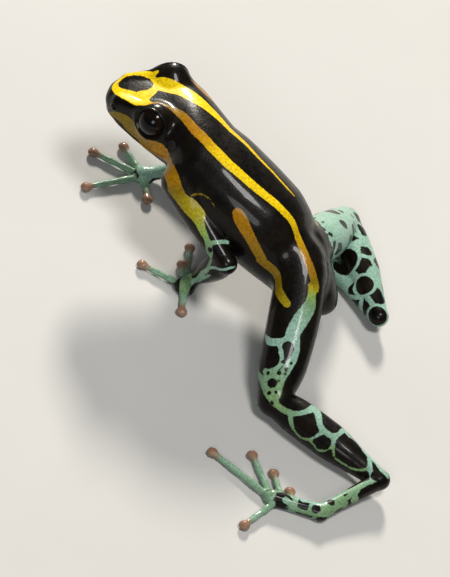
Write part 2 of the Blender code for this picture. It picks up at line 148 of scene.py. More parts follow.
def smooth_value(stations, values, where):
    """Values read along a smooth curve through the stations, a cubic that never overshoots."""
    steps = np.diff(stations)
    slopes = np.diff(values) / steps
    same_way = slopes[:-1] * slopes[1:] > 0
    middle = np.where(same_way, 2 * slopes[:-1] * slopes[1:] / (slopes[:-1] + slopes[1:] + 1e-12), 0)
    slope_at = np.concatenate([slopes[:1], middle, slopes[-1:]])
    where = np.clip(where, stations[0], stations[-1])
    i = np.clip(np.searchsorted(stations, where) - 1, 0, len(steps) - 1)
    t = (where - stations[i]) / steps[i]
    start = (1 + 2 * t) * (1 - t) ** 2 * values[i] + t * (1 - t) ** 2 * steps[i] * slope_at[i]
    end = t * t * (3 - 2 * t) * values[i + 1] + t * t * (t - 1) * steps[i] * slope_at[i + 1]
    return start + end


def section_at(forward):
    """The cross section there: half width, top, bottom, height of the widest line and power."""
    sizes = [smooth_value(BODY_STATIONS[:, 0], BODY_STATIONS[:, k], forward) for k in (1, 2, 3, 4)]
    return *sizes, TRUNK_POWER + (SNOUT_POWER - TRUNK_POWER) * smoothstep(*FIRMER_OVER, forward)


def barrel_distance(place):
    """Distance from the barrel: how far |l/w|^p + |u/h|^p + |e|^p is past 1, over its slope.

    w and h follow the stations, and e runs from 0 to 1 over each rounded end. The chin ends
    a little behind the snout. The power p is higher on the snout than on the trunk.
    """
    forward, left, up = place.T
    width, top, bottom, widest, p = section_at(forward)
    height = np.where(up > widest, top - widest, widest - bottom)
    chin = CHIN_BACK * smoothstep(1.0, -0.7, up)
    snout = (forward + chin - SNOUT_ROUND[0]) / (SNOUT_ROUND[1] - SNOUT_ROUND[0])
    vent = (forward - VENT_ROUND[0]) / (VENT_ROUND[1] - VENT_ROUND[0])
    end = np.maximum(np.maximum(snout, vent), 0.0)
    end_length = np.where(forward > 0, SNOUT_ROUND[1] - SNOUT_ROUND[0], VENT_ROUND[0] - VENT_ROUND[1])
    across = np.abs(left) / width
    upward = np.abs(up - widest) / height
    reach = (across ** p + upward ** p + end ** p + 1e-9) ** (1 / p)
    slope = np.sqrt(
        (across ** (p - 1) / width) ** 2
        + (upward ** (p - 1) / height) ** 2
        + (end ** (p - 1) / end_length) ** 2
    ) * reach ** (1 - p)
    return (reach - 1.0) / np.maximum(slope, 0.25)


# The face on the front of the body.
# Lids ride over the eyeballs and leave a round opening. The mouth is one fine line with firm lips
# from corner to corner, the nostrils are pits near the snout, the ear is a small sunken disc.

EYE_RADIUS = 0.86
EYE_LOOK = np.array((0.28, 0.92, 0.27)) / np.linalg.norm((0.28, 0.92, 0.27))
LID_THICKNESS = 0.10
LID_BLEND = 0.50
LID_ROLL = 0.07
LID_SEAT = 0.16
OPENING_WIDE = math.radians(63)
OPENING_HIGH = math.radians(56)

# The firm edge from each eye's front to above the nostril: its two ends and its radius.
BROW_BACK = np.array((6.05, 1.52, 1.22))
BROW_FRONT = np.array((7.45, 0.95, 0.90))
BROW_RADIUS = 0.30

MOUTH_CORNER = (4.2, -0.50)
MOUTH_SNOUT_UP = -0.12
MOUTH_DEPTH = 0.12
MOUTH_WIDTH = 0.055
JAW_STEP = 0.05
NOSTRIL = np.array((7.58, 1.22, 0.76))
EAR = np.array((3.95, 2.70, 0.25))
EAR_RADIUS = 0.36


def soft_union(a, b, reach):
    """The lesser of two distances, rounded into a fillet where they differ by under reach."""
    near = np.maximum(reach - np.abs(a - b), 0.0) / reach
    return np.minimum(a, b) - near * near * reach / 4


def ridge(distance, width):
    """1 on a line and falling off on both sides as a bell of that width."""
    return np.exp(-((distance / width) ** 2))


def mouth_up(forward):
    """Height of the mouth's line: it rises smoothly from the corner to the snout."""
    share = smoothstep(MOUTH_CORNER[0], 8.6, forward)
    return MOUTH_CORNER[1] + (MOUTH_SNOUT_UP - MOUTH_CORNER[1]) * share


def rod_distance(points, start, end, radius):
    """Distance from a straight rod with round ends."""
    axis = end - start
    t = np.clip((points - start) @ axis / (axis @ axis), 0.0, 1.0)
    return np.linalg.norm(points - start - t[:, None] * axis, axis=1) - radius


def lids_on(distance, mirrored):
    """Raises a lid over the eyeball and opens it sideways.

    The lid is a sphere blended into the head, with a rolled edge: a thin ring on the opening.
    The opening is a cone from the eyeball's middle, a little wider than it is high, and it is
    cut down to a seat just under the eyeball's surface.
    """
    from_eye = mirrored - np.array((EYE_FORWARD, EYE_OUT, EYE_UP))
    reach = np.linalg.norm(from_eye, axis=1)
    distance = soft_union(distance, reach - EYE_RADIUS - LID_THICKNESS, LID_BLEND)
    upward = np.array((0.0, 0.0, 1.0)) - EYE_LOOK * EYE_LOOK[2]
    upward /= np.linalg.norm(upward)
    outward = from_eye @ EYE_LOOK
    high = from_eye @ upward
    wide = from_eye @ np.cross(EYE_LOOK, upward)
    around = np.arctan2(high / math.sin(OPENING_HIGH), wide / math.sin(OPENING_WIDE))
    angle = OPENING_WIDE + (OPENING_HIGH - OPENING_WIDE) * np.sin(around) ** 2
    across = np.hypot(high, wide)
    rim = EYE_RADIUS + LID_THICKNESS * 0.6
    roll = np.hypot(across - rim * np.sin(angle), outward - rim * np.cos(angle))
    distance = soft_union(distance, roll - LID_ROLL, 0.10)
    cone = across * np.cos(angle) - outward * np.sin(angle)
    opening = np.maximum(cone, reach - EYE_RADIUS - 0.6)
    opening = np.maximum(opening, EYE_RADIUS - LID_SEAT - reach)
    return -soft_union(-distance, opening, 0.05)


def body_distance(points):
    """The barrel with brows, lids, lips, nostrils and ears worked into it."""
    place = body_place(points)
    forward, left, up = place.T
    mirrored = np.stack([forward, np.abs(left), up], axis=1)
    distance = barrel_distance(place)
    brow = rod_distance(mirrored, BROW_BACK, BROW_FRONT, BROW_RADIUS)
    distance = soft_union(distance, brow, 0.40)
    distance = lids_on(distance, mirrored)
    before_corner = smoothstep(MOUTH_CORNER[0] - 0.25, MOUTH_CORNER[0] + 0.25, forward)
    from_mouth = up - mouth_up(forward)
    distance += MOUTH_DEPTH * before_corner * ridge(from_mouth, MOUTH_WIDTH)
    lower = smoothstep(0.03, -0.06, from_mouth) * smoothstep(-0.9, -0.3, from_mouth)
    distance += JAW_STEP * before_corner * lower
    distance -= 0.035 * before_corner * ridge(np.abs(from_mouth) - 0.16, 0.09)
    from_nostril = np.linalg.norm(mirrored - NOSTRIL, axis=1)
    distance += 0.20 * ridge(from_nostril, 0.11) - 0.03 * ridge(from_nostril - 0.20, 0.07)
    from_ear = np.linalg.norm(mirrored - EAR, axis=1)
    distance += 0.04 * (1 - smoothstep(EAR_RADIUS * 0.7, EAR_RADIUS, from_ear))
    distance -= 0.03 * ridge(from_ear - EAR_RADIUS, 0.07)
    return distance


# The limbs grow out of the body, one upper arm, forearm, thigh, shank and tarsus a side.
# Each is a tapering length of muscle over bone, thicker where its belly lies, and the skin runs
# over every joint in one smooth fold.

flesh = []


def grow(low, high, distance, joint=None, joint_blend=0.0, joint_reach=1.0, blend=0.06):
    """Adds a form to the flesh: its box, its distance, and how widely it blends at its joint."""
    flesh.append((np.array(low), np.array(high), distance, joint, joint_blend, joint_reach, blend))


def flesh_distance(points):
    """Distance of points from the whole animal: its forms joined one by one, softly at joints."""
    value = np.full(len(points), 3.0)
    for low, high, distance, joint, joint_blend, joint_reach, blend in flesh:
        near = np.all((points > low) & (points < high), axis=1)
        if not near.any():
            continue
        there = points[near]
        reach = blend
        if joint is not None:
            reach = blend + joint_blend * ridge(np.linalg.norm(there - joint, axis=1), joint_reach)
        value[near] = soft_union(value[near], distance(there), reach)
    return value


def limb(start, end, radii, belly=0.0, belly_side=(0.0, 0.0, 1.0), **joined):
    """Grows a limb: distance to its axis less a radius that follows radii along it.

    The radius is more by the share belly, a little before half way, on the side that faces
    belly_side.
    """
    start = np.array(start, float)
    end = np.array(end, float)
    radii = np.array(radii, float)
    length = np.linalg.norm(end - start)
    along = (end - start) / length
    toward = np.array(belly_side, float)
    toward -= along * (toward @ along)
    toward /= np.linalg.norm(toward)
    places = np.linspace(0.0, 1.0, len(radii))

    def distance(points):
        offset = points - start
        t = np.clip(offset @ along / length, 0.0, 1.0)
        out = offset - t[:, None] * along * length
        reach = np.linalg.norm(out, axis=1)
        facing = (out @ toward) / np.maximum(reach, 1e-6)
        radius = smooth_value(places, radii, t)
        swell = 1.0 + belly * np.sin(math.pi * t ** 0.7) * np.maximum(facing, 0.0) ** 2
        return reach - radius * swell

    margin = radii.max() * (1 + belly) + 0.8
    low = np.minimum(start, end) - margin
    high = np.maximum(start, end) + margin
    grow(low, high, distance, **joined)


LEFT_ARM = {
    "shoulder": (2.35, -1.9, 5.6),
    "elbow": (3.55, 2.7, 3.9),
    "wrist": (2.4, 1.0, 0.5),
    "palm": (3.0, 0.9, 0.3),
}
RIGHT_ARM = {
    "shoulder": (-1.6, -2.4, 4.1),
    "elbow": (-5.1, -2.2, 1.9),
    "wrist": (-2.8, -4.6, 0.6),
    "palm": (-2.1, -5.2, 0.35),
}
LEFT_LEG = {
    "hip": (0.75, 5.5, 4.4),
    "knee": (6.9, 9.0, 1.0),
    "heel": (7.13, 16.0, 0.9),
    "instep": (11.1, 14.9, 0.45),
    "toe_base": (12.15, 12.5, 0.35),
}
RIGHT_LEG = {
    "hip": (-1.1, 4.9, 3.6),
    "knee": (-7.4, 4.5, 0.95),
    "heel": (-2.9, 9.6, 0.9),
    "instep": (-4.3, 6.1, 0.42),
    "toe_base": (-5.6, 3.6, 0.35),
}
UPPER_ARM_RADII = (0.85, 0.80, 0.70, 0.60, 0.52)
FOREARM_RADII = (0.52, 0.64, 0.58, 0.44, 0.34)
LEFT_THIGH_RADII = (1.22, 1.15, 1.14, 1.14, 0.84)
RIGHT_THIGH_RADII = (1.15, 1.26, 1.22, 1.06, 0.78)
SHANK_RADII = (0.74, 0.92, 0.92, 0.72, 0.50)
TARSUS_RADII = (0.50, 0.43, 0.40, 0.42)

body_low = (-4.2, -9.8, 2.0)
body_high = (4.2, 9.6, 9.6)
grow(body_low, body_high, body_distance)

for arm, inner in ((LEFT_ARM, (0.0, -1.0, -0.4)), (RIGHT_ARM, (0.0, -1.0, -0.6))):
    limb(arm["shoulder"], arm["elbow"], UPPER_ARM_RADII, 0.12, (0.0, 0.0, -1.0),
         joint=np.array(arm["shoulder"]), joint_blend=0.9, joint_reach=1.6)
    limb(arm["elbow"], arm["wrist"], FOREARM_RADII, 0.22, inner,
         joint=np.array(arm["elbow"]), joint_blend=0.30, joint_reach=0.7)

for leg, thigh, rear, calf in (
    (LEFT_LEG, LEFT_THIGH_RADII, (-0.52, 0.80, 0.29), (-1.0, 0.2, 0.5)),
    (RIGHT_LEG, RIGHT_THIGH_RADII, (0.0, 1.0, 0.3), (-0.3, -1.0, 0.5)),
):
    limb(leg["hip"], leg["knee"], thigh, 0.40 if leg is LEFT_LEG else 0.12, rear,
         joint=np.array(leg["hip"]), joint_blend=1.2, joint_reach=2.0)
    limb(leg["knee"], leg["heel"], SHANK_RADII, 0.14, calf,
         joint=np.array(leg["knee"]), joint_blend=0.40, joint_reach=0.9)
    limb(leg["heel"], leg["instep"], TARSUS_RADII,
         joint=np.array(leg["heel"]), joint_blend=0.25, joint_reach=0.6)


# Hands and feet stand on the floor.
# Slender free digits with small knuckles grow from a padded palm or a long sole, four in front
# and five behind, and each ends in a flat round disc.

LEFT_FINGERS = ((1.7, -0.1), (0.3, -0.5), (3.4, -1.6), (4.6, 1.8))
RIGHT_FINGERS = ((-0.9, -4.1), (1.0, -6.9), (-1.5, -8.1), (-3.2, -7.2))
LEFT_TOES = ((10.9, 12.9), (10.5, 11.6), (10.3, 10.1), (11.8, 8.5), (14.8, 12.5))
RIGHT_TOES = ((-4.3, 3.7), (-4.4, 2.4), (-5.3, 1.0), (-6.8, 0.4), (-6.7, 2.3))
DIGIT_HEIGHT = 0.20
DIGIT_RADII = (0.24, 0.18, 0.20, 0.16, 0.18, 0.15, 0.16)
DISC_WIDE = 0.30
DISC_LONG = 0.29
DISC_THICKNESS = 0.19


def pad(centre, size, along=(0.0, 1.0), groove=0.0, **joined):
    """Grows a flat pad: the distance to an upright ellipsoid, its offset over its slope.

    Size is its half length, half width and half thickness, and a shallow groove may run
    along its top.
    """
    centre = np.array(centre, float)
    size = np.array(size)
    along = np.array(along, float) / np.linalg.norm(along)

    def distance(points):
        offset = points - centre
        lengthwise = offset[:, 0] * along[0] + offset[:, 1] * along[1]
        crosswise = offset[:, 1] * along[0] - offset[:, 0] * along[1]
        scaled = np.stack([lengthwise, crosswise, offset[:, 2]], axis=1) / size
        reach = np.linalg.norm(scaled, axis=1)
        slope = np.linalg.norm(scaled / size, axis=1) / np.maximum(reach, 1e-6)
        value = (reach - 1.0) / np.maximum(slope, 1.0 / size[0])
        return value + groove * ridge(crosswise, 0.05) * (offset[:, 2] > 0)

    grow(centre - size.max() - 0.8, centre + size.max() + 0.8, distance, **joined)


digit_lines = []


def digits(roots, tips):
    """Grows one digit and disc from each root to its tip on the floor."""
    for root, tip in zip(roots, tips):
        base = np.array((root[0], root[1], DIGIT_HEIGHT + 0.06))
        end = np.array((tip[0], tip[1], DIGIT_HEIGHT))
        digit_lines.append((base, end))
        limb(base, end, DIGIT_RADII, joint=base, joint_blend=0.35, joint_reach=0.5)
        pad(end, (DISC_LONG, DISC_WIDE, DISC_THICKNESS), (end - base)[:2], 0.03,
            joint=end, joint_blend=0.12, joint_reach=0.5)


for arm, tips in ((LEFT_ARM, LEFT_FINGERS), (RIGHT_ARM, RIGHT_FINGERS)):
    palm = np.array(arm["palm"])
    limb(arm["wrist"], palm, (0.36, 0.40), joint=palm, joint_blend=0.2)
    pad(palm, (0.56, 0.56, 0.42), joint=palm, joint_blend=0.25)
    digits([palm] * 4, tips)

for leg, tips in ((LEFT_LEG, LEFT_TOES), (RIGHT_LEG, RIGHT_TOES)):
    instep, toe_base = np.array(leg["instep"]), np.array(leg["toe_base"])
    limb(instep, toe_base, (0.42, 0.40, 0.42), joint=instep, joint_blend=0.25, joint_reach=0.5)
    roots = [toe_base + (instep - toe_base) * share for share in (0.45, 0.22, 0.0, 0.0, 0.12)]
    digits(roots, tips)


# The skin over all of it.
# It is one unbroken surface, so it can't be a single grid: the flesh is sampled through its box,
# each cell that the surface crosses gets a point, and each crossing joins four points.

CELL = 0.13


def surface_over(values, origin, cell):
    """Points and four-sided faces where values, sampled on a grid, change sign.

    A cell's point is the mean of the places where the sign changes along its twelve edges.
    """
    inside = values < 0
    count = np.zeros(np.array(values.shape) - 1)
    total = np.zeros(count.shape + (3,))
    faces = []
    cells = [slice(None, -1), slice(1, None)]
    crossings = []
    for axis in range(3):
        low = [slice(None)] * 3
        high = [slice(None)] * 3
        low[axis], high[axis] = cells
        a, b = values[tuple(low)], values[tuple(high)]
        changes = (a < 0) != (b < 0)
        share = np.where(changes, a / np.where(changes, a - b, 1.0), 0.0)
        crossings.append(changes)
        others = [k for k in range(3) if k != axis]
        for first in (0, 1):
            for second in (0, 1):
                pick = [slice(None)] * 3
                pick[others[0]] = cells[first]
                pick[others[1]] = cells[second]
                seen = changes[tuple(pick)]
                count += seen
                total[..., axis] += share[tuple(pick)] * seen
                total[..., others[0]] += first * seen
                total[..., others[1]] += second * seen
    used = count > 0
    number = np.full(count.shape, -1)
    number[used] = np.arange(used.sum())
    corner = np.argwhere(used)
    points = origin + (corner + total[used] / count[used][:, None]) * cell
    for axis in range(3):
        others = [(axis + 1) % 3, (axis + 2) % 3]
        at = np.argwhere(crossings[axis])
        at = at[(at[:, others[0]] > 0) & (at[:, others[1]] > 0)]
        around = []
        for back_one, back_two in ((0, 0), (1, 0), (1, 1), (0, 1)):
            cell_at = at.copy()
            cell_at[:, others[0]] -= back_one
            cell_at[:, others[1]] -= back_two
            around.append(number[tuple(cell_at.T)])
        quads = np.stack(around, axis=1)
        flip = ~inside[tuple(at.T)]
        quads[flip] = quads[flip][:, ::-1]
        faces.append(quads)
    return points, np.concatenate(faces)


def slope_of(points, step=0.02):
    """Which way and how fast the distance grows, from its value at four corners round a point."""
    corners = np.array(((1, 1, 1), (1, -1, -1), (-1, 1, -1), (-1, -1, 1)), float)
    values = [flesh_distance(points + corner * step) for corner in corners]
    return sum(value[:, None] * corner for value, corner in zip(values, corners)) / (4 * step)


def pressed_to_flesh(points, times):
    """Moves each point straight to the surface: against the slope, by distance over slope."""
    for _ in range(times):
        slope = slope_of(points)
        steep = np.maximum(np.sum(slope * slope, axis=1), 0.1)
        shift = slope * (flesh_distance(points) / steep)[:, None]
        length = np.linalg.norm(shift, axis=1, keepdims=True)
        points = points - shift * np.minimum(1.0, 0.08 / np.maximum(length, 1e-9))
    return points


def evened(points, ends, share):
    """Moves each point part of the way to the mean of those it is joined to."""
    both = np.concatenate([ends, ends[:, ::-1]])
    count = np.bincount(both[:, 0], minlength=len(points))
    total = np.stack([np.bincount(both[:, 0], points[both[:, 1], k], len(points)) for k in range(3)])
    return points + share * (total.T / count[:, None] - points)


def read_out(parts, name, wide, kind=float):
    """What a mesh's points or edges hold under that name, a row for each."""
    flat = np.empty(len(parts) * wide, kind)
    parts.foreach_get(name, flat)
    return flat.reshape(-1, wide)


def places_of(mesh):
    """The mesh's points in the pose's millimetres."""
    return read_out(mesh.vertices, "co", 3) / MM + BOX_MIDDLE


def settle(mesh, times, chosen=None):
    """Evens the mesh's points and presses them to the flesh, all of them or the chosen ones."""
    ends = read_out(mesh.edges, "vertices", 2, int)
    points = places_of(mesh)
    chosen = np.ones(len(points), bool) if chosen is None else chosen
    for _ in range(times):
        points[chosen] = evened(points, ends, 0.5)[chosen]
        points[chosen] = pressed_to_flesh(points[chosen], 2)
    points[:, 2] = np.maximum(points[:, 2], 0.0)
    mesh.vertices.foreach_set("co", ((points - BOX_MIDDLE) * MM).ravel())
    mesh.update()


def finer(mesh, chosen):
    """Halves the edges of every face that has a chosen point."""
    shape = bmesh.new()
    shape.from_mesh(mesh)
    faces = [face for face in shape.faces if any(chosen[vertex.index] for vertex in face.verts)]
    edges = {edge for face in faces for edge in face.edges}
    bmesh.ops.subdivide_edges(shape, edges=list(edges), cuts=1, use_grid_fill=True)
    shape.to_mesh(mesh)
    shape.free()
    mesh.update()


def fine_places(points):
    """True on the head and on the digits, where the form is fine."""
    fine = body_place(points)[:, 0] > 3.6
    fine &= points[:, 2] > 3.0
    for base, end in digit_lines:
        fine |= rod_distance(points, base, end, 0.5) < 0.0
    return fine


def finest_places(points):
    """True along the mouth, round the eyes' openings, at the nostrils and at the ears."""
    place = body_place(points)
    mirrored = np.stack([place[:, 0], np.abs(place[:, 1]), place[:, 2]], axis=1)
    from_eye = mirrored - np.array((EYE_FORWARD, EYE_OUT, EYE_UP))
    reach = np.linalg.norm(from_eye, axis=1)
    angle = np.arccos(np.clip(from_eye @ EYE_LOOK / np.maximum(reach, 1e-6), -1.0, 1.0))
    fine = (reach < 1.25) & (np.abs(angle - OPENING_WIDE + 0.06) < 0.28)
    fine |= (np.abs(place[:, 2] - mouth_up(place[:, 0])) < 0.22) & (place[:, 0] > MOUTH_CORNER[0] - 0.3)
    fine |= np.linalg.norm(mirrored - NOSTRIL, axis=1) < 0.34
    fine |= np.abs(np.linalg.norm(mirrored - EAR, axis=1) - EAR_RADIUS) < 0.12
    return fine & (points[:, 2] > 3.0)


low = np.min([form[0] for form in flesh], axis=0)
high = np.max([form[1] for form in flesh], axis=0)
low[2], high[2] = -0.6, 9.2
shape = np.ceil((high - low) / CELL).astype(int)
values = np.empty(shape)
ys = low[1] + np.arange(shape[1]) * CELL
zs = low[2] + np.arange(shape[2]) * CELL
for i in range(0, shape[0], 16):
    xs = low[0] + np.arange(i, min(i + 16, shape[0])) * CELL
    slab = np.stack(np.meshgrid(xs, ys, zs, indexing="ij"), axis=-1)
    values[i:i + 16] = flesh_distance(slab.reshape(-1, 3)).reshape(slab.shape[:3])
skin_points, skin_faces = surface_over(values, low, CELL)


def mesh_of(name, points, faces):
    """A mesh through places in the pose's millimetres."""
    mesh = bpy.data.meshes.new(name)
    mesh.from_pydata(((points - BOX_MIDDLE) * MM).tolist(), [], faces)
    return mesh


mesh = mesh_of("frog_skin", skin_points, skin_faces.tolist())
settle(mesh, 2)
for chosen_places in ((fine_places, finest_places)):
    finer(mesh, chosen_places(places_of(mesh)))
    settle(mesh, 2, chosen_places(places_of(mesh)))
mesh.shade_smooth()


def placed(name, data):
    """A new object in the scene with that mesh, camera or lamp."""
    piece = bpy.data.objects.new(name, data)
    bpy.context.scene.collection.objects.link(piece)
    return piece


skin = placed("frog_skin", mesh)
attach(skin, "root")
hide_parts(*[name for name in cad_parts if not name.startswith("eye")])


# The markings on the skin.
# Yellow lines run along the black body, and the limbs wear a pale turquoise net round black
# spots. Each line is laid on the skin through its measured places, and every point of the skin
# keeps how far it lies inside a line, which the finish paints with a crisp edge.

# Lines over the top of the head: forward, left, half width, tint.
SNOUT_LEFT_LINE = (
    (7.70, -0.50, 0.30, 0.0), (7.80, -0.12, 0.34, 0.0), (7.62, 0.25, 0.36, 0.0), (7.28, 0.55, 0.42, 0.0),
    (6.85, 0.76, 0.46, 0.0), (6.35, 1.00, 0.50, 0.0), (5.98, 1.28, 0.34, 0.02),
)
SNOUT_RIGHT_LINE = (
    (7.80, -0.12, 0.34, 0.0), (7.62, -0.68, 0.28, 0.0), (7.15, -1.00, 0.27, 0.0),
    (6.60, -1.12, 0.24, 0.0), (6.25, -1.15, 0.19, 0.0), (6.02, -1.30, 0.07, 0.0),
)
BETWEEN_EYES_LINE = (
    (6.02, -0.76, 0.28, 0.0), (5.98, -0.48, 0.36, 0.0), (6.08, 0.05, 0.36, 0.0), (6.35, 0.60, 0.44, 0.0),
)

# The black oval inside the ring on the snout: its middle, half length, half width and turn.
OVAL_MIDDLE = (6.92, -0.36)
OVAL_LONG = 0.92
OVAL_WIDE = 0.60
OVAL_TURN = math.radians(10)
OVAL_ABOVE = 0.5

# Lines along the body: forward, degrees round from the spine, half width, tint.
MIDDLE_LINE = (
    (6.0, -11, 0.34, 0.0), (5.6, -11.5, 0.45, 0.0), (5.1, -11, 0.45, 0.0), (4.6, -9.5, 0.44, 0.0),
    (4.0, -6.5, 0.44, 0.0), (3.5, -4.5, 0.40, 0.0), (3.0, -4, 0.34, 0.0), (2.5, -4, 0.29, 0.02),
    (2.0, -3, 0.24, 0.04), (1.2, -1, 0.19, 0.05), (0.5, 0, 0.16, 0.05), (-0.3, 1, 0.13, 0.06),
    (-1.0, 1, 0.11, 0.06), (-1.8, 2, 0.09, 0.06), (-2.7, 3, 0.08, 0.08), (-3.0, 3, 0.02, 0.08),
)
BACK_LINE = (
    (6.0, 25, 0.18, 0.04), (5.7, 22, 0.15, 0.12), (5.5, 20, 0.15, 0.24), (5.2, 18, 0.17, 0.30),
    (4.8, 19, 0.20, 0.32), (4.4, 21.5, 0.22, 0.30), (4.0, 26, 0.23, 0.26), (3.5, 34, 0.25, 0.22),
    (3.0, 40, 0.28, 0.20), (2.3, 41.5, 0.30, 0.16), (1.6, 43, 0.30, 0.05), (0.8, 44, 0.29, 0.0),
    (0.0, 42, 0.27, 0.0), (-0.9, 40.5, 0.26, 0.0), (-1.7, 38.5, 0.25, 0.0), (-2.4, 36.5, 0.24, 0.0),
    (-3.0, 35.5, 0.22, 0.0), (-3.7, 33, 0.21, 0.04), (-4.3, 35, 0.20, 0.10), (-4.8, 38, 0.20, 0.14),
    (-5.6, 43, 0.20, 0.18), (-6.3, 49, 0.22, 0.26), (-7.0, 59, 0.24, 0.40), (-7.4, 77, 0.20, 0.60),
)
# The flank line's dark amber-olive tint is partly painted shade: the lower flank turns away from the
# light.
FLANK_LINE = (
    (-1.55, 80, 0.30, 0.22), (-1.9, 83, 0.36, 0.24), (-2.45, 88, 0.32, 0.24), (-3.1, 92, 0.28, 0.28),
    (-4.0, 99, 0.27, 0.32),
)
# The lip line's olive tint is partly painted shade on the lower face, and the right lip line shares it.
LIP_LINE = (
    (7.85, 92, 0.06, 0.36), (7.6, 88, 0.18, 0.36), (7.25, 83, 0.28, 0.36), (6.9, 82, 0.36, 0.36),
    (6.5, 83, 0.44, 0.36), (6.0, 88, 0.40, 0.34), (5.4, 91, 0.42, 0.30), (5.0, 89, 0.48, 0.26),
    (4.65, 90, 0.50, 0.22), (4.4, 93, 0.45, 0.22), (4.1, 100, 0.38, 0.24), (3.6, 106, 0.36, 0.26),
    (2.8, 106, 0.40, 0.26), (2.2, 107, 0.40, 0.26), (1.7, 110, 0.36, 0.32), (1.3, 112, 0.34, 0.38),
)

# The right back line starts behind the lid, and the right lip line ends before the arm.
RIGHT_BACK_LINE = ((4.3, 35, 0.04, 0.22), (4.0, 38, 0.16, 0.22), *BACK_LINE[7:22])
RIGHT_LIP_LINE = LIP_LINE[:12]

# Two pale patches, in the standing pose: place, half width, tint.
LEFT_PALM_LINE = (
    (2.65, 0.85, 0.70, 0.22, 0.88),
    (3.00, 0.90, 0.55, 0.34, 0.86),
    (3.50, 1.15, 0.40, 0.26, 0.86),
)
RIGHT_WRIST_LINE = (
    (-3.60, -3.80, 1.50, 0.35, 0.96),
    (-2.80, -4.60, 1.00, 0.45, 1.0),
    (-2.10, -5.20, 0.70, 0.50, 1.0),
)

# The point of view of the photo, which the camera takes: degrees round from the head, up from the
# floor and about the line of sight, how far off in metres, and the pixel of the trunk's middle.
CAMERA_TURN = 106.8
CAMERA_LIFT = 42.7
CAMERA_ROLL = 23.3
CAMERA_AWAY = 0.4
PIXELS_PER_MM = 18.91
PIXEL_OF_TRUNK = (199.24, 253.15)
PICTURE = (450, 577)

turn, lift, roll = (math.radians(value) for value in (CAMERA_TURN, CAMERA_LIFT, CAMERA_ROLL))
level = np.array((math.cos(turn), math.sin(turn), 0.0))
backwards = np.array((level[1] * math.cos(lift), -level[0] * math.cos(lift), math.sin(lift)))
upright = np.cross(backwards, level)
right = level * math.cos(roll) + upright * math.sin(roll)
over = upright * math.cos(roll) - level * math.sin(roll)
aim = right * (PICTURE[0] / 2 - PIXEL_OF_TRUNK[0]) / PIXELS_PER_MM
aim -= over * (PICTURE[1] / 2 - PIXEL_OF_TRUNK[1]) / PIXELS_PER_MM
eye_place = aim + backwards * CAMERA_AWAY / MM

